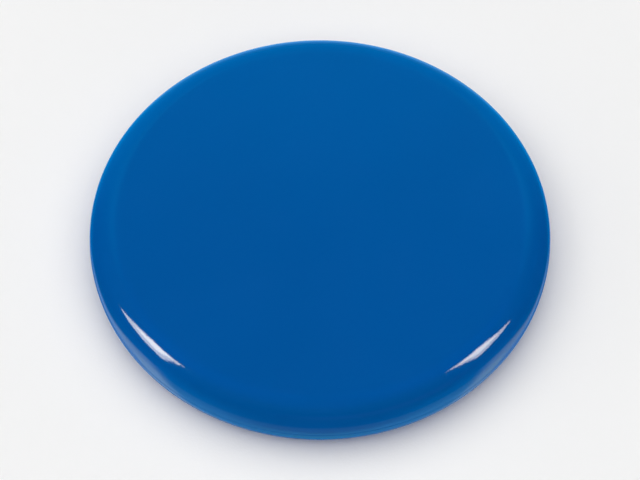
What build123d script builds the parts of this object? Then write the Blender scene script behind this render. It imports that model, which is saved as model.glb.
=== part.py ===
from build123d import *
from math import radians, tan
import os

# Round holding magnet with a moulded plastic cap, lying on its magnetic face.
# Millimetres, +Z up. The origin is the centre of the underside, at the level of
# the cap's land ring. From the top down the stack is cap, adhesive dabs, steel
# keeper plate and ring magnet, with adhesive beads around the magnet.

# ---- driving dimensions ----
cap_diameter = 40.0
cap_height = 5.0
top_round = 2.6  # radius of the cap's upper edge
bottom_round = 1.9  # radius of the cap's lower edge
ceiling = 1.2  # plastic over the pocket

magnet_diameter = 32.0
magnet_hole = 16.0
magnet_thickness = 2.6
magnet_chamfer = 0.3
magnet_recess = 0.3  # from the land ring up to the magnet's face

plate_diameter = 31.5
plate_thickness = 0.8
plate_die_roll = 0.15  # rounded edge that punching leaves on one side

pocket_gap = 0.6  # around the magnet at the pocket's mouth
pocket_draft = 1.0  # degrees, so that the cap leaves its mould
mouth_chamfer = 0.3
ceiling_fillet = 0.35

rib_count = 6  # half-round centring ribs that grip the magnet
rib_foot = 0.9  # height of the ribs' lower ends
rib_lead_in = 0.3

ejector_count = 3
ejector_radius = 1.2
ejector_circle = 13.0
ejector_depth = 0.08
gate_dimple_radius = 1.8
gate_dimple_depth = 0.25
gate_stub_radius = 0.5
gate_stub_length = 0.15

dab_count = 6
dab_radius = 2.2
dab_circle = 8.5

bead_count = rib_count
bead_arc = 41.0  # degrees that each bead covers between two ribs
bead_height = 1.5
bead_meniscus = 0.14

# ---- derived dimensions ----
cap_radius = cap_diameter / 2
magnet_radius = magnet_diameter / 2
pocket_radius = magnet_radius + pocket_gap
ceiling_z = cap_height - ceiling
magnet_top = magnet_recess + magnet_thickness
plate_top = magnet_top + plate_thickness
dab_thickness = ceiling_z - plate_top
bead_foot = magnet_recess + magnet_chamfer
rib_pitch = 360 / rib_count

os.makedirs("parts", exist_ok=True)


def pocket_wall(z):
    """Radius of the drafted pocket wall at height z."""
    return pocket_radius - z * tan(radians(pocket_draft))


# ---- cap: one moulding with a flat top, rounded edges and a pocket below ----
with BuildPart() as cap:
    with BuildSketch():
        Circle(cap_radius)
    extrude(amount=cap_height)
    fillet(cap.edges().group_by(Axis.Z)[-1], top_round)
    fillet(cap.edges().group_by(Axis.Z)[0], bottom_round)

    # drafted pocket, chamfered at its mouth and rounded under the ceiling
    Cone(
        pocket_radius,
        pocket_wall(ceiling_z),
        ceiling_z,
        align=(Align.CENTER, Align.CENTER, Align.MIN),
        mode=Mode.SUBTRACT,
    )
    mouth = cap.edges().group_by(Axis.Z)[0].sort_by(SortBy.RADIUS)[0]
    chamfer(mouth, mouth_chamfer)
    ceiling_face = cap.faces().filter_by(Plane.XY).sort_by(Axis.Z)[-2]
    fillet(ceiling_face.edges(), ceiling_fillet)

    # centring ribs from the ceiling down, each with a tapered foot
    with BuildSketch(Plane.XY.offset(rib_foot + rib_lead_in)) as ribs:
        with PolarLocations(pocket_radius, rib_count):
            Circle(pocket_gap)
    extrude(amount=ceiling_z - rib_foot - rib_lead_in)
    extrude(ribs.sketch, amount=-rib_lead_in, taper=45)

    # ejector pin marks and the sunken gate, both hidden inside
    with BuildSketch(Plane.XY.offset(ceiling_z)):
        with PolarLocations(ejector_circle, ejector_count):
            Circle(ejector_radius)
    extrude(amount=ejector_depth, mode=Mode.SUBTRACT)
    with BuildSketch(Plane.XY.offset(ceiling_z)):
        Circle(gate_dimple_radius)
    extrude(amount=gate_dimple_depth, mode=Mode.SUBTRACT)
    with BuildSketch(Plane.XY.offset(ceiling_z + gate_dimple_depth)):
        Circle(gate_stub_radius)
    extrude(amount=-gate_stub_length)

cap.part.label = "cap"
export_step(cap.part, "parts/cap.step")

# ---- plate_glue: dabs of adhesive pressed flat under the ceiling ----
with BuildPart() as plate_glue:
    with BuildSketch(Plane.XY.offset(plate_top)):
        with PolarLocations(dab_circle, dab_count, start_angle=rib_pitch / 2):
            Circle(dab_radius)
    extrude(amount=dab_thickness)

plate_glue.part.label = "plate_glue"
export_step(plate_glue.part, "parts/plate_glue.step")

# ---- keeper_plate: punched steel disc that closes the magnet's field ----
with BuildPart() as keeper_plate:
    with BuildSketch(Plane.XY.offset(magnet_top)):
        Circle(plate_diameter / 2)
    extrude(amount=plate_thickness)
    fillet(keeper_plate.edges().group_by(Axis.Z)[-1], plate_die_roll)

keeper_plate.part.label = "keeper_plate"
export_step(keeper_plate.part, "parts/keeper_plate.step")

# ---- ring_magnet: pressed ferrite ring with ground faces ----
with BuildPart() as ring_magnet:
    with BuildSketch(Plane.XY.offset(magnet_recess)):
        Circle(magnet_radius)
        Circle(magnet_hole / 2, mode=Mode.SUBTRACT)
    extrude(amount=magnet_thickness)
    chamfer(ring_magnet.edges().filter_by(GeomType.CIRCLE), magnet_chamfer)

ring_magnet.part.label = "ring_magnet"
export_step(ring_magnet.part, "parts/ring_magnet.step")

# ---- rim_glue: a bead between each pair of ribs, with a hollow meniscus ----
with BuildPart() as rim_glue:
    for i in range(bead_count):
        start = (i + 0.5) * rib_pitch - bead_arc / 2
        with BuildSketch(Plane.XZ.rotated((0, 0, start))):
            low, high = bead_foot, bead_foot + bead_height
            with BuildLine():
                inner = (magnet_radius, low)
                outer = (pocket_wall(low), low)
                middle = ((inner[0] + outer[0]) / 2, low + bead_meniscus)
                ThreePointArc(inner, middle, outer)
                Polyline(outer, (pocket_wall(high), high), (magnet_radius, high), inner)
            make_face()
        revolve(axis=Axis.Z, revolution_arc=bead_arc)

rim_glue.part.label = "rim_glue"
export_step(rim_glue.part, "parts/rim_glue.step")
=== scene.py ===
import math

import bpy
from mathutils import Euler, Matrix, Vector, noise


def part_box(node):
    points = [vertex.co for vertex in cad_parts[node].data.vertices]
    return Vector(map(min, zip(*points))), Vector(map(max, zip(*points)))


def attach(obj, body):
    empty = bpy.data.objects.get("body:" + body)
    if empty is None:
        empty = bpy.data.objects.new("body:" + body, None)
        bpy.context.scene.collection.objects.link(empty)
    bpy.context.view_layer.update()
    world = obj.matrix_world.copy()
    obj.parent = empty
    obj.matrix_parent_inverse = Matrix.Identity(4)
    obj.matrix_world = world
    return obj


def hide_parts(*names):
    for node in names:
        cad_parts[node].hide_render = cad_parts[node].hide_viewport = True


# A round holding magnet: a glossy moulded cap over a steel plate and a ferrite ring.
# Metres, +Z up, with the camera on the -Y side.

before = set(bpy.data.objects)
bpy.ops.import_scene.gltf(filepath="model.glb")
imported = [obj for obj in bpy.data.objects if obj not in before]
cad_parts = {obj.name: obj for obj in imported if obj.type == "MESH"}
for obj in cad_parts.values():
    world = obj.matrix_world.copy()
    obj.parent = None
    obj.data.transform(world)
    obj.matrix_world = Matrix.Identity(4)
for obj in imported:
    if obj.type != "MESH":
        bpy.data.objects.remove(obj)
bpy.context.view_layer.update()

MM = 0.001
BODY = "root"

# ---- places and sizes that the frame gives ----
cap_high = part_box("cap")[1]
magnet_low, magnet_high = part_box("ring_magnet")
plate_low, plate_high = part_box("keeper_plate")
dab_low, dab_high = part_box("plate_glue")
bead_low, bead_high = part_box("rim_glue")
CAP_RADIUS = cap_high.x
CAP_TOP = cap_high.z
MAGNET_RADIUS = magnet_high.x
PLATE_RADIUS = plate_high.x
CEILING_Z = dab_high.z

# ---- sizes that repeat the CAD model's own, where its boxes don't give them ----
TOP_ROUND = 2.6 * MM
BOTTOM_ROUND = 1.9 * MM
MAGNET_HOLE_RADIUS = 8.0 * MM
MAGNET_CHAMFER = 0.3 * MM
PLATE_DIE_ROLL = 0.15 * MM
POCKET_GAP = 0.6 * MM
POCKET_RADIUS = MAGNET_RADIUS + POCKET_GAP
POCKET_DRAFT = math.tan(math.radians(1.0))
MOUTH_CHAMFER = 0.3 * MM
CEILING_FILLET = 0.35 * MM
RIB_COUNT = 6
RIB_PITCH = math.tau / RIB_COUNT
RIB_FOOT = 0.9 * MM
RIB_LEAD_IN = 0.3 * MM
EJECTOR_COUNT = 3
EJECTOR_RADIUS = 1.2 * MM
EJECTOR_CIRCLE = 13.0 * MM
EJECTOR_DEPTH = 0.08 * MM
GATE_RADIUS = 1.8 * MM
GATE_DEPTH = 0.25 * MM
STUB_RADIUS = 0.5 * MM
STUB_LENGTH = 0.15 * MM
DAB_COUNT = 6
DAB_RADIUS = 2.2 * MM
DAB_CIRCLE = 8.5 * MM
BEAD_ARC = math.radians(41.0)
BEAD_MENISCUS = 0.14 * MM

# ---- mesh fineness and small marks that only the visual model has ----
PARTING_RIDGE = 0.02 * MM
EDGE_CHIP = 0.16 * MM
CHIP_DENSITY = 26.0  # a higher value makes the chips shorter and closer together
CAP_COLUMNS = 360
RING_COLUMNS = 240
PLATE_COLUMNS = 180
DAB_COLUMNS = 72
BEAD_COLUMNS = 64
SHARP_ANGLE = math.radians(32)


# ---- mesh helpers ----
def link(name, vertices, faces):
    """A mesh object from plain lists, smooth except across edges sharper than SHARP_ANGLE."""
    mesh = bpy.data.meshes.new(name)
    mesh.from_pydata([tuple(v) for v in vertices], [], faces)
    mesh.validate()
    mesh.shade_smooth()
    mesh.set_sharp_from_angle(angle=SHARP_ANGLE)
    mesh.update()
    thing = bpy.data.objects.new(name, mesh)
    bpy.context.scene.collection.objects.link(thing)
    return thing


def arc(centre, radius, start, end, steps):
    """Points on an arc in the plane of radius and height, both ends included."""
    for i in range(steps + 1):
        a = math.radians(start + (end - start) * i / steps)
        yield centre[0] + radius * math.cos(a), centre[1] + radius * math.sin(a)


def ring_points(row, columns):
    """One row's points around the axis. Its radius and height may depend on the angle."""
    radius, height = row
    for j in range(columns):
        a = math.tau * j / columns
        r = radius(a) if callable(radius) else radius
        z = height(a) if callable(height) else height
        yield r * math.cos(a), r * math.sin(a), z


def bridge(a, b, columns):
    """Quads between the closed rows that start at vertices a and b."""
    for j in range(columns):
        k = (j + 1) % columns
        yield a + j, b + j, b + k, a + k


def disc_solid(name, rows, columns):
    """A closed solid of revolution whose first and last rows are points on the axis."""
    vertices = [(0, 0, rows[0][1])]
    for row in rows[1:-1]:
        vertices.extend(ring_points(row, columns))
    vertices.append((0, 0, rows[-1][1]))
    last = len(vertices) - 1
    faces = []
    for i in range(len(rows) - 3):
        faces.extend(bridge(1 + i * columns, 1 + (i + 1) * columns, columns))
    for j in range(columns):
        k = (j + 1) % columns
        faces.append((0, 1 + j, 1 + k))
        faces.append((last, last - columns + k, last - columns + j))
    return link(name, vertices, faces)


def ring_solid(name, rows, columns):
    """A closed ring whose cross-section is the loop of rows."""
    vertices = [p for row in rows for p in ring_points(row, columns)]
    faces = []
    for i in range(len(rows)):
        faces.extend(bridge(i * columns, (i + 1) % len(rows) * columns, columns))
    return link(name, vertices, faces)


def rough_edge(angle, seed):
    """How far an edge is chipped back at an angle: nothing, or a shallow bite."""
    finer, finer_share = 2.7, 0.45
    sound_edge, steepness = 0.18, 2.4
    around = Vector((math.cos(angle) * CHIP_DENSITY, math.sin(angle) * CHIP_DENSITY, seed))
    bite = noise.noise(around) + finer_share * noise.noise(around * finer)
    return EDGE_CHIP * min(1.0, max(0.0, bite - sound_edge) * steepness)


# ---- cap ----
def pocket_wall(z):
    """Radius of the drafted pocket wall at height z."""
    return POCKET_RADIUS - z * POCKET_DRAFT


def rib_row(z, rib_radius):
    """The pocket wall at height z, with the half-round ribs that stand in front of it."""

    def radius(angle):
        off = (angle + RIB_PITCH / 2) % RIB_PITCH - RIB_PITCH / 2
        aside = POCKET_RADIUS * math.sin(off)
        if abs(aside) >= rib_radius:
            return pocket_wall(z)
        nose = POCKET_RADIUS * math.cos(off) - math.sqrt(rib_radius**2 - aside**2)
        return min(pocket_wall(z), nose)

    return radius, z


def ceiling_row(r):
    """The ceiling at a radius, with the sunken marks that the ejector pins leave."""

    def height(angle):
        pitch = math.tau / EJECTOR_COUNT
        off = (angle + pitch / 2) % pitch - pitch / 2
        apart = math.hypot(r * math.cos(off) - EJECTOR_CIRCLE, r * math.sin(off))
        return CEILING_Z + (EJECTOR_DEPTH if apart < EJECTOR_RADIUS else 0.0)

    return r, height


def make_cap():
    """The whole cap as one moulding, in rows from its top around the edge to the stub inside."""
    flat = CAP_RADIUS - TOP_ROUND
    wall = CAP_RADIUS - PARTING_RIDGE
    top_of_side = CAP_TOP - TOP_ROUND
    seam = (top_of_side + BOTTOM_ROUND) / 2
    half_seam = 0.03 * MM
    support = 0.12 * MM  # from an edge to the row of vertices that keeps it crisp
    hair = 0.001 * MM  # between two rows that would otherwise coincide
    dimple_slope = 0.1 * MM
    top_steps, bottom_steps, mouth_steps = 26, 22, 3

    # the outside: top, upper round, side with its parting line, lower round, land
    rows = [(0, CAP_TOP)]
    rows += [(flat * share, CAP_TOP) for share in (0.12, 0.35, 0.6, 0.85)]
    rows.append((flat - support, CAP_TOP))
    rows += arc((wall - TOP_ROUND, top_of_side), TOP_ROUND, 90, 0, top_steps)
    rows += [(wall, seam + half_seam), (CAP_RADIUS, seam), (wall, seam - half_seam)]
    rows += arc((wall - BOTTOM_ROUND, BOTTOM_ROUND), BOTTOM_ROUND, 0, -90, bottom_steps)
    rows.append((wall - BOTTOM_ROUND - support, 0))

    # the pocket: mouth, drafted wall with ribs, ceiling
    mouth = POCKET_RADIUS + MOUTH_CHAMFER
    rows += arc((mouth + support, support), support, -90, -135, mouth_steps)
    rows.append((pocket_wall(MOUTH_CHAMFER), MOUTH_CHAMFER))
    rows.append((pocket_wall(RIB_FOOT), RIB_FOOT - hair))
    rows.append(rib_row(RIB_FOOT, POCKET_GAP - RIB_LEAD_IN))
    rows.append(rib_row(RIB_FOOT + RIB_LEAD_IN / 2, POCKET_GAP - RIB_LEAD_IN / 2))
    rows.append(rib_row(RIB_FOOT + RIB_LEAD_IN, POCKET_GAP))
    rows.append(rib_row(CEILING_Z - CEILING_FILLET, POCKET_GAP))
    rows.append(rib_row(CEILING_Z, POCKET_GAP))
    marks_reach = EJECTOR_RADIUS + support
    mark_rows = 25
    for i in range(mark_rows):
        rows.append(ceiling_row(EJECTOR_CIRCLE + marks_reach * (1 - 2 * i / (mark_rows - 1))))

    # the sunken gate in the middle, with its cut stub
    dimple = CEILING_Z + GATE_DEPTH
    stub = dimple - STUB_LENGTH
    rows += [(DAB_CIRCLE, CEILING_Z), (GATE_RADIUS, CEILING_Z)]
    rows.append((GATE_RADIUS - dimple_slope, dimple))
    rows += [(STUB_RADIUS, dimple), (STUB_RADIUS * 0.9, stub), (STUB_RADIUS * 0.4, stub), (0, stub)]
    return disc_solid("cap_moulding", rows, CAP_COLUMNS)


# ---- ring magnet ----
def make_magnet():
    """The ring, with chamfered edges, which are chipped on the face that shows."""
    low, high = magnet_low.z, magnet_high.z
    outer, inner, cut = MAGNET_RADIUS, MAGNET_HOLE_RADIUS, MAGNET_CHAMFER
    inner_seed, outer_seed = 3.1, 8.4
    margin = 1.2 * MM
    rows = [
        (outer - cut - margin, low),
        (lambda a: outer - cut - rough_edge(a, outer_seed), low),
        (outer, lambda a: low + cut + rough_edge(a, outer_seed)),
        (outer, high - cut),
        (outer - cut, high),
        (inner + cut, high),
        (inner, high - cut),
        (inner, lambda a: low + cut + rough_edge(a, inner_seed)),
        (lambda a: inner + cut + rough_edge(a, inner_seed), low),
        (inner + cut + margin, low),
    ]
    return ring_solid("ferrite_ring", rows, RING_COLUMNS)


# ---- keeper plate ----
def make_plate():
    """The punched disc, with a rolled upper edge and a broken lower one."""
    low, high, r = plate_low.z, plate_high.z, PLATE_RADIUS
    roll, roll_steps = PLATE_DIE_ROLL, 6
    break_edge = 0.05 * MM
    rows = [(0, high), (r * 0.5, high), (r - roll - break_edge, high)]
    rows += arc((r - roll, high - roll), roll, 90, 0, roll_steps)
    rows += [(r, low + break_edge), (r - break_edge, low)]
    rows += [(r * 0.75, low), (r * 0.4, low), (0, low)]
    return disc_solid("keeper_disc", rows, PLATE_COLUMNS)


# ---- adhesive ----
def make_dabs():
    """Dabs of adhesive pressed flat between plate and ceiling, each with an uneven outline."""
    low, high = dab_low.z, dab_high.z
    waist = 0.06 * MM
    middle, half = (low + high) / 2, (high - low) / 2
    bulge = 0.028

    # from below to above: shares of the outline and heights
    profile = [(0.55, low), (0.97, low)]
    profile += [(1.0 - bulge * abs(s), middle + half * s) for s in (-0.7, 0.0, 0.7)]
    profile += [(0.97, high), (0.55, high)]
    vertices, faces = [], []
    for i in range(DAB_COUNT):
        turn = RIB_PITCH * (i + 0.5)
        cx, cy = DAB_CIRCLE * math.cos(turn), DAB_CIRCLE * math.sin(turn)

        def reach(angle, seed=i * 5.3 + 1.0):
            """The outline's radius at an angle. Each dab has its own seed."""
            lobe_size, contrast = 1.4, 1.6
            mean_reach, lobe_depth = 0.93, 0.07
            around = Vector((math.cos(angle) * lobe_size, math.sin(angle) * lobe_size, seed))
            lobe = min(1.0, max(-1.0, noise.noise(around) * contrast))
            return (DAB_RADIUS - waist) * (mean_reach + lobe_depth * lobe)

        start = len(vertices)
        vertices.append((cx, cy, low))
        for share, z in profile:
            for j in range(DAB_COLUMNS):
                a = math.tau * j / DAB_COLUMNS
                r = reach(a) * share
                vertices.append((cx + r * math.cos(a), cy + r * math.sin(a), z))
        vertices.append((cx, cy, high))
        last = len(vertices) - 1
        for k in range(len(profile) - 1):
            first = start + 1 + k * DAB_COLUMNS
            faces += [q[::-1] for q in bridge(first, first + DAB_COLUMNS, DAB_COLUMNS)]
        for j in range(DAB_COLUMNS):
            k = (j + 1) % DAB_COLUMNS
            faces.append((start, start + 1 + k, start + 1 + j))
            faces.append((last, last - DAB_COLUMNS + j, last - DAB_COLUMNS + k))
    return link("pressed_dabs", vertices, faces)


def make_beads():
    """A bead of adhesive between each pair of ribs, sagging and thinning out to its ends."""
    low, high = bead_low.z, bead_high.z
    across = 8
    clearance = 0.01 * MM
    fullness, unevenness, thinnest = 0.84, 0.16, 0.12
    lump_size = 5
    bluntness = 7  # of the bead's ends
    inner = MAGNET_RADIUS + clearance
    vertices, faces = [], []
    for i in range(RIB_COUNT):
        start = len(vertices)
        middle = RIB_PITCH * (i + 0.5)
        for j in range(BEAD_COLUMNS + 1):
            t = 2 * j / BEAD_COLUMNS - 1
            a = middle + BEAD_ARC / 2 * t
            full = max(0.0, 1 - abs(t) ** bluntness) ** 0.5
            around = Vector((math.cos(a) * lump_size, math.sin(a) * lump_size, 2.0 + i))
            uneven = unevenness * noise.noise(around)
            foot = high - (high - low) * max(thinnest, (fullness + uneven) * full)
            loop = []
            for k in range(across + 1):
                s = k / across
                hollow = BEAD_MENISCUS * 4 * s * (1 - s)
                edge = pocket_wall(foot) - clearance
                loop.append((inner + (edge - inner) * s, foot + hollow))
            loop.append((pocket_wall(high) - clearance, high))
            loop.append((inner, high))
            vertices += [(r * math.cos(a), r * math.sin(a), z) for r, z in loop]
        size = across + 3
        for j in range(BEAD_COLUMNS):
            here = start + j * size
            for k in range(size):
                after = (k + 1) % size
                faces.append((here + k, here + after, here + size + after, here + size + k))
        faces.append(tuple(start + k for k in reversed(range(size))))
        faces.append(tuple(start + BEAD_COLUMNS * size + k for k in range(size)))
    return link("pocket_beads", vertices, faces)


# ---- node helpers ----
class Nodes:
    """A material's or world's node tree, with a call for each kind of node in this scene."""

    def __init__(self, owner):
        owner.use_nodes = True
        self.tree = owner.node_tree

    def feed(self, socket, value):
        """Links another node's output to the socket, or sets the socket to a constant."""
        if isinstance(value, bpy.types.NodeSocket):
            self.tree.links.new(value, socket)
        else:
            socket.default_value = value

    def position(self):
        """The shaded point, in metres and in the mesh's own frame."""
        return self.tree.nodes.new("ShaderNodeTexCoord").outputs["Object"]

    def split(self, vector):
        """A vector's x, y and z."""
        node = self.tree.nodes.new("ShaderNodeSeparateXYZ")
        self.feed(node.inputs["Vector"], vector)
        return node.outputs["X"], node.outputs["Y"], node.outputs["Z"]

    def stretch(self, vector, scale):
        """A point scaled along each axis: under 1 draws out the pattern that reads it."""
        node = self.tree.nodes.new("ShaderNodeMapping")
        self.feed(node.inputs["Vector"], vector)
        node.inputs["Scale"].default_value = scale
        return node.outputs["Vector"]

    def maths(self, operation, *values):
        """The result of one operation on numbers or on other nodes' outputs."""
        node = self.tree.nodes.new("ShaderNodeMath")
        node.operation = operation
        for socket, value in zip(node.inputs, values):
            self.feed(socket, value)
        return node.outputs["Value"]

    def ramp(self, value, start, end, low=0.0, high=1.0):
        """A value taken smoothly from low to high while the input goes from start to end."""
        node = self.tree.nodes.new("ShaderNodeMapRange")
        node.interpolation_type = "SMOOTHSTEP"
        self.feed(node.inputs["Value"], value)
        for name, number in zip(("From Min", "From Max", "To Min", "To Max"), (start, end, low, high)):
            self.feed(node.inputs[name], number)
        return node.outputs["Result"]

    def noise(self, vector, per_mm, detail=2.0, roughness=0.5):
        """A cloudy pattern between 0 and 1, with about this many lumps per millimetre."""
        node = self.tree.nodes.new("ShaderNodeTexNoise")
        self.feed(node.inputs["Vector"], vector)
        node.inputs["Scale"].default_value = per_mm / MM
        node.inputs["Detail"].default_value = detail
        node.inputs["Roughness"].default_value = roughness
        return node.outputs["Fac"]

    def cells(self, vector, per_mm):
        """The distance to the nearest of scattered points, in units of their spacing."""
        node = self.tree.nodes.new("ShaderNodeTexVoronoi")
        self.feed(node.inputs["Vector"], vector)
        node.inputs["Scale"].default_value = per_mm / MM
        return node.outputs["Distance"]

    def mix(self, share, first, second):
        """The first colour where the share is 0 and the second where it is 1."""
        node = self.tree.nodes.new("ShaderNodeMix")
        node.data_type = "RGBA"
        self.feed(node.inputs["Factor"], share)
        for name, color in (("A", first), ("B", second)):
            socket = [s for s in node.inputs if s.name == name and s.type == "RGBA"][0]
            self.feed(socket, color)
        return [s for s in node.outputs if s.type == "RGBA"][0]

    def bump(self, height, depth_mm, normal=None):
        """Surface relief whose height of 0 to 1 stands for the depth, over an earlier relief."""
        node = self.tree.nodes.new("ShaderNodeBump")
        node.inputs["Strength"].default_value = 1.0
        node.inputs["Distance"].default_value = depth_mm * MM
        self.feed(node.inputs["Height"], height)
        if normal is not None:
            self.feed(node.inputs["Normal"], normal)
        return node.outputs["Normal"]


def new_material(name, **sockets):
    """A material and its nodes, with the constant values on the shader's own sockets."""
    material = bpy.data.materials.new(name)
    nodes = Nodes(material)
    shader = nodes.tree.nodes["Principled BSDF"]
    for socket, value in sockets.items():
        shader.inputs[socket.replace("_", " ")].default_value = value
    return material, nodes, shader


# ---- materials ----
def cap_plastic():
    """Glossy opaque blue moulding: faint orange peel, a rubbed shoulder, a duller pocket."""
    material, nodes, shader = new_material("blue_moulding", Metallic=0.0, IOR=1.5)
    point = nodes.position()
    x, y, z = nodes.split(point)
    x_squared, y_squared = nodes.maths("MULTIPLY", x, x), nodes.maths("MULTIPLY", y, y)
    radius = nodes.maths("SQRT", nodes.maths("ADD", x_squared, y_squared))
    inside = nodes.maths(
        "MULTIPLY",
        nodes.ramp(radius, POCKET_RADIUS + MOUTH_CHAMFER, POCKET_RADIUS + 0.05 * MM),
        nodes.ramp(z, CEILING_Z + 0.4 * MM, CEILING_Z + 0.3 * MM),
    )

    pigment = nodes.noise(point, per_mm=0.12, detail=3.0)
    deep, light = (0.0, 0.0850, 0.320, 1), (0.0, 0.0880, 0.332, 1)
    color = nodes.mix(nodes.ramp(pigment, 0.3, 0.7), deep, light)
    nodes.feed(shader.inputs["Base Color"], color)

    haze = nodes.noise(point, per_mm=0.25, detail=4.0, roughness=0.6)
    haze = nodes.ramp(haze, 0.35, 0.75, high=0.02)
    fine = nodes.noise(point, per_mm=9.0, detail=2.0)
    fine = nodes.ramp(fine, 0.52, 0.8, high=0.05)
    polish, pocket_dullness = 0.05, 0.28
    gloss = nodes.maths("ADD", nodes.maths("ADD", polish, haze), fine)
    rough = nodes.maths("ADD", gloss, nodes.maths("MULTIPLY", inside, pocket_dullness))
    nodes.feed(shader.inputs["Roughness"], rough)

    peel = nodes.bump(nodes.noise(point, per_mm=0.7, detail=1.0), depth_mm=0.0006)
    grain = nodes.noise(point, per_mm=14.0, detail=2.0)
    relief = nodes.bump(grain, depth_mm=0.00012, normal=peel)
    shoulder = nodes.ramp(radius, CAP_RADIUS - 3.4 * MM, CAP_RADIUS - 2.2 * MM)
    spots = nodes.ramp(nodes.noise(point, per_mm=1.1, detail=3.0), 0.42, 0.62)
    rubbed = nodes.maths("MULTIPLY", shoulder, spots)
    scuffs = nodes.maths("MULTIPLY", nodes.noise(point, per_mm=8.0, detail=3.0), rubbed)
    relief = nodes.bump(scuffs, depth_mm=0.0024, normal=relief)

    # the spark-eroded texture of the mould's core, which only the pocket has
    spark = nodes.maths("MULTIPLY", nodes.noise(point, per_mm=7.0, detail=3.0), inside)
    nodes.feed(shader.inputs["Normal"], nodes.bump(spark, depth_mm=0.012, normal=relief))
    return material


def ferrite():
    """Dark sintered ceramic with ground faces: fine grain, pores and straight grinding marks."""
    material, nodes, shader = new_material("sintered_ferrite", Metallic=0.0, IOR=1.9)
    point = nodes.position()
    grain = nodes.noise(point, per_mm=5.0, detail=4.0, roughness=0.7)
    cloud = nodes.noise(point, per_mm=0.35, detail=3.0)
    dark, pale = (0.030, 0.029, 0.030, 1), (0.072, 0.068, 0.068, 1)
    tone = nodes.maths("ADD", nodes.maths("MULTIPLY", grain, 0.6), nodes.maths("MULTIPLY", cloud, 0.4))
    nodes.feed(shader.inputs["Base Color"], nodes.mix(nodes.ramp(tone, 0.3, 0.75), dark, pale))
    lines = nodes.noise(nodes.stretch(point, (0.04, 1.0, 1.0)), per_mm=16.0, detail=2.0)
    nodes.feed(shader.inputs["Roughness"], nodes.ramp(lines, 0.25, 0.75, low=0.38, high=0.60))
    pores = nodes.ramp(nodes.cells(point, per_mm=2.6), 0.16, 0.05)
    relief = nodes.bump(lines, depth_mm=0.006)
    relief = nodes.bump(grain, depth_mm=0.012, normal=relief)
    sound = nodes.maths("SUBTRACT", 1.0, pores)
    nodes.feed(shader.inputs["Normal"], nodes.bump(sound, depth_mm=0.03, normal=relief))
    return material


def zinc_steel():
    """Zinc-plated sheet: rolling marks, faint spangle and a thin passivation tint."""
    material, nodes, shader = new_material("plated_steel", Metallic=1.0)
    point = nodes.position()
    spangle = nodes.cells(point, per_mm=0.55)
    film = nodes.noise(point, per_mm=0.16, detail=3.0)
    warm, cool, grey = (0.63, 0.60, 0.50, 1), (0.54, 0.58, 0.62, 1), (0.48, 0.48, 0.47, 1)
    tint = nodes.mix(nodes.ramp(film, 0.35, 0.65), cool, warm)
    color = nodes.mix(nodes.ramp(spangle, 0.1, 0.9, high=0.35), tint, grey)
    nodes.feed(shader.inputs["Base Color"], color)
    along = nodes.stretch(point, (1.0, 0.03, 1.0))
    rolled = nodes.noise(along, per_mm=11.0, detail=3.0, roughness=0.6)
    nodes.feed(shader.inputs["Roughness"], nodes.ramp(rolled, 0.25, 0.75, low=0.24, high=0.42))
    relief = nodes.bump(rolled, depth_mm=0.004)
    dents = nodes.noise(point, per_mm=3.0, detail=3.0)
    nodes.feed(shader.inputs["Normal"], nodes.bump(dents, depth_mm=0.006, normal=relief))
    return material


def adhesive():
    """Set amber adhesive, a little cloudy, with small bubbles and a wet-looking skin."""
    material, nodes, shader = new_material("amber_adhesive", IOR=1.5, Subsurface_Weight=0.35)
    shader.inputs["Subsurface Radius"].default_value = (1.0, 0.6, 0.25)
    shader.inputs["Subsurface Scale"].default_value = 0.6 * MM
    point = nodes.position()
    cloud = nodes.noise(point, per_mm=0.9, detail=4.0)
    thin, thick = (0.72, 0.60, 0.36, 1), (0.50, 0.37, 0.16, 1)
    nodes.feed(shader.inputs["Base Color"], nodes.mix(nodes.ramp(cloud, 0.3, 0.7), thin, thick))
    nodes.feed(shader.inputs["Roughness"], nodes.ramp(cloud, 0.3, 0.7, low=0.16, high=0.34))
    bubbles = nodes.ramp(nodes.cells(point, per_mm=1.7), 0.10, 0.22)
    relief = nodes.bump(bubbles, depth_mm=0.03)
    ripples = nodes.noise(point, per_mm=1.6, detail=2.0)
    nodes.feed(shader.inputs["Normal"], nodes.bump(ripples, depth_mm=0.03, normal=relief))
    return material


def pale_floor():
    """Matt white table paper with a hint of tooth."""
    material, nodes, shader = new_material("table_paper", Roughness=0.75, Specular_IOR_Level=0.0)
    point = nodes.position()
    tone = nodes.ramp(nodes.noise(point, per_mm=0.01, detail=3.0), 0.3, 0.7)
    shaded, bright = (0.90, 0.90, 0.90, 1), (0.92, 0.92, 0.92, 1)
    nodes.feed(shader.inputs["Base Color"], nodes.mix(tone, shaded, bright))
    tooth = nodes.noise(point, per_mm=4.0, detail=3.0)
    nodes.feed(shader.inputs["Normal"], nodes.bump(tooth, depth_mm=0.01))
    return material


# ---- the pieces, each on its body and in its material slot ----
def place(piece, node, material):
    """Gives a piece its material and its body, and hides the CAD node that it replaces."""
    piece.data.materials.append(material)
    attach(piece, BODY)
    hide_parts(node)


glue = adhesive()
place(make_cap(), "cap", cap_plastic())
place(make_magnet(), "ring_magnet", ferrite())
place(make_plate(), "keeper_plate", zinc_steel())
place(make_dabs(), "plate_glue", glue)
place(make_beads(), "rim_glue", glue)

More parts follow.
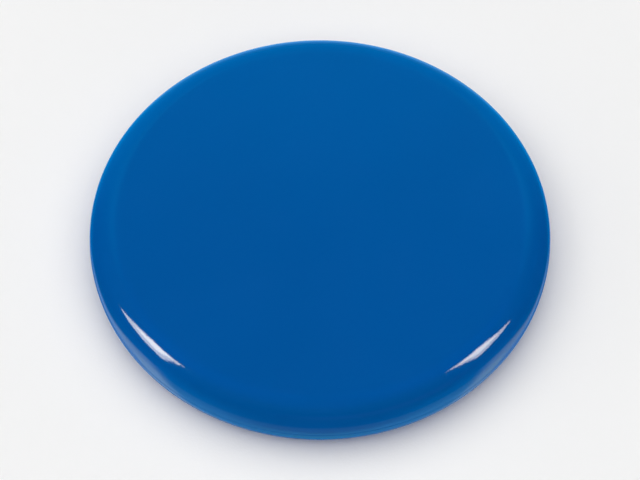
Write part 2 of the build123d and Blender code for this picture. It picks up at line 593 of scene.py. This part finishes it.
# ---- floor with a far raised rim, so that it is pale to the horizon all round ----
FLOOR_RADIUS = 0.9
FLOOR_SWEEP = 0.35
FLOOR_COLUMNS = 96
FLOOR_LIFT_ROWS = 16
sweep = [(FLOOR_RADIUS * share, 0) for share in (0.1, 0.3, 0.6)]
sweep += list(arc((FLOOR_RADIUS, FLOOR_SWEEP), FLOOR_SWEEP, -90, 0, FLOOR_LIFT_ROWS))
floor_points = [(0, 0, 0)] + [p for row in sweep for p in ring_points(row, FLOOR_COLUMNS)]
floor_faces = [(0, 1 + j, 1 + (j + 1) % FLOOR_COLUMNS) for j in range(FLOOR_COLUMNS)]
for i in range(len(sweep) - 1):
    first = 1 + i * FLOOR_COLUMNS
    floor_faces += [q[::-1] for q in bridge(first, first + FLOOR_COLUMNS, FLOOR_COLUMNS)]
floor = link("floor", floor_points, floor_faces)
floor.data.materials.append(pale_floor())
floor.visible_glossy = False


# ---- lights ----
def area_light(name, towards, size, radiance, distance, tilt=(0, 0, 0), color=(1, 1, 1)):
    """A panel of light, placed and sized by the angles at which the object sees it.

    towards is its azimuth and elevation: azimuth 0 is on the camera's side, positive to the
    right. size is its width and height, and tilt turns it about its own axes: pitch, yaw, roll.
    """
    light = bpy.data.lights.new(name, "AREA")
    light.shape = "RECTANGLE"
    light.color = color
    light.size = 2 * distance * math.tan(math.radians(size[0] / 2))
    light.size_y = 2 * distance * math.tan(math.radians(size[1] / 2))
    light.energy = radiance * math.pi * light.size * light.size_y
    azimuth, elevation = (math.radians(angle) for angle in towards)
    level = math.cos(elevation)
    away = Vector((math.sin(azimuth) * level, -math.cos(azimuth) * level, math.sin(elevation)))
    lamp = bpy.data.objects.new(name, light)
    lamp.location = away * distance
    lamp.rotation_mode = "QUATERNION"
    turned = Euler([math.radians(angle) for angle in tilt], "ZXY").to_quaternion()
    lamp.rotation_quaternion = away.to_track_quat("Z", "Y") @ turned
    bpy.context.scene.collection.objects.link(lamp)
    return lamp


# two tilted soft boxes, which only the gloss shows, each with a brighter middle
WARM_WHITE = (1.0, 0.95, 0.80)
for name, towards, size, radiance, tilt in (
    ("left_box", (-77.3, 38.8), (16.9, 47.0), 16.6, (55.1, 42.9, 33.9)),
    ("right_box", (75.5, 41.9), (14.4, 41.0), 13.7, (46.9, -41.2, -28.4)),
):
    for part, share, inner, distance in (("", 0.6, 1.0, 0.50), ("_middle", 0.5, 0.62, 0.48)):
        reach = (size[0] * inner, size[1] * inner)
        panel = area_light(name + part, towards, reach, radiance * share, distance, tilt, WARM_WHITE)
        panel.visible_diffuse = False

# broad soft light, which the gloss doesn't show
for name, towards, size, radiance, distance in (
    ("overhead", (0, 88), (100, 100), 1.22, 2.5),
    ("behind", (180, 58), (40, 40), 0.54, 1.6),
    ("left", (-95, 35), (45, 45), 0.97, 1.6),
):
    lamp = area_light(name, towards, size, radiance, distance)
    lamp.visible_glossy = False
    lamp.visible_camera = False


# ---- surroundings: what the gloss reflects besides the soft boxes ----
def sine(degrees):
    """The height at which a direction with this elevation meets a sphere of radius 1."""
    return math.sin(math.radians(degrees))


class Surroundings(Nodes):
    """A sum of glows, each a colour times shares that depend on the direction looked in.

    height is the sine of its elevation. front is 1 on the camera's side and -1 on the far side,
    and right is 1 to the right and -1 to the left.
    """

    def __init__(self, owner):
        super().__init__(owner)
        direction = self.tree.nodes.new("ShaderNodeTexCoord").outputs["Generated"]
        x, y, z = self.split(direction)

        # the length of its level part, kept just over 0 because it is divided by
        over_one = 1.0001
        level = self.maths("SQRT", self.maths("SUBTRACT", over_one, self.maths("MULTIPLY", z, z)))
        self.height = z
        self.front = self.maths("DIVIDE", self.maths("MULTIPLY", y, -1.0), level)
        self.right = self.maths("DIVIDE", x, level)
        self.total = None

    def glow(self, color, *shares):
        """Adds a colour times the product of its shares. A negative colour takes away."""
        share = shares[0]
        for other in shares[1:]:
            share = self.maths("MULTIPLY", share, other)
        node = self.tree.nodes.new("ShaderNodeVectorMath")
        node.operation = "MULTIPLY_ADD"
        self.tree.links.new(share, node.inputs[0])
        node.inputs[1].default_value = color
        if self.total is not None:
            self.tree.links.new(self.total, node.inputs[2])
        self.total = node.outputs["Vector"]

    def between(self, start, end, height=None, low=0.0):
        """From low at the start elevation to 1 at the end elevation, in degrees."""
        height = self.height if height is None else height
        return self.ramp(height, sine(start), sine(end), low)


world = bpy.data.worlds.new("studio")
bpy.context.scene.world = world
world.cycles_visibility.diffuse = False
room = Surroundings(world)

# the table: it starts lower towards the back, and the object shades it at its foot
table = room.maths("ADD", room.height, room.ramp(room.front, 0.48, -0.33, high=0.43))
table = room.maths("ADD", table, room.ramp(room.front, -0.5, -1.0, high=0.2))
own_shadow = room.between(-80, -62, low=0.6)
aside = room.ramp(room.front, 1.05, 0.69)
ahead = room.maths("SUBTRACT", 1.0, aside)
table_edge = room.between(16, -28, table)
room.glow((0.0, 0.13, 0.55), table_edge, own_shadow)
forwards = room.ramp(room.front, -0.43, 0.61, low=0.34)
room.glow((0.0, 0.43, 0.88), table_edge, own_shadow, aside, forwards)
room.glow((0.18, 0.20, 0.0), room.between(-25, -30, table), own_shadow)
room.glow((0.0, 0.63, 0.87), room.between(-47, -82), own_shadow, ahead)

# its brighter patches under the two soft boxes, cut off aslant towards the front
aslant = room.maths("MULTIPLY_ADD", room.height, -0.8, room.front)
patch = (
    room.between(-11, -18, table),
    room.between(-72, -38, low=0.35),
    room.ramp(room.front, -1.3, 0.18),
    room.ramp(room.front, 0.49, 0.26),
    room.ramp(aslant, 1.0, 0.82),
)
room.glow((0.96, 0.98, 0.82), room.ramp(room.right, -0.5, -0.8), *patch)
room.glow((0.75, 0.68, 0.38), room.ramp(room.right, 0.5, 0.8), *patch)

# the room's soft bluish light to the sides, and the pale wall behind
sides = room.ramp(room.front, -1.1, -0.4)
room.glow((0.0, 0.05, 0.45), room.ramp(room.front, 1.0, 0.2), room.between(-34, -10), sides)
wall = room.ramp(room.front, -0.45, -1.0)
room.glow((0.0, 0.66, 1.60), wall, room.between(-56, -28), room.between(60, 50))

# straight behind: a paler stretch low down, and a warmer line just over the horizon
straight_behind = room.ramp(room.front, -0.88, -1.0)
room.glow((0.20, 0.15, 0.05), straight_behind, room.between(-3, -14), room.between(-75, -50))
room.glow((0.22, -0.15, -0.80), straight_behind, room.between(0.3, 1.3), room.between(4.2, 3.2))

# overhead
room.glow((0.0, 0.03, 0.48), room.between(48, 60))

# a faint warm stretch of the room in front, to the right
room.glow(
    (0.05, 0.0, 0.0),
    room.ramp(room.front, 0.35, 0.6),
    room.ramp(room.right, -0.45, 0.1),
    room.between(29, 18),
    room.between(4, 14),
)
room.tree.links.new(room.total, room.tree.nodes["Background"].inputs["Color"])

bpy.context.scene.view_settings.view_transform = "Standard"

# ---- camera ----
CAMERA_ELEVATION = math.radians(57.62)
CAMERA_DISTANCE = 11.05 * CAP_RADIUS
CAMERA_LENS = 142.2
AIM_HEIGHT = 0.177 * CAP_TOP
camera = bpy.data.cameras.new("camera")
camera.lens = CAMERA_LENS
camera.clip_start = 0.01
eye = bpy.data.objects.new("camera", camera)
towards_camera = Vector((0, -math.cos(CAMERA_ELEVATION), math.sin(CAMERA_ELEVATION)))
eye.location = towards_camera * CAMERA_DISTANCE + Vector((0, 0, AIM_HEIGHT))
eye.rotation_mode = "QUATERNION"
eye.rotation_quaternion = towards_camera.to_track_quat("Z", "Y")
bpy.context.scene.collection.objects.link(eye)
bpy.context.scene.camera = eye
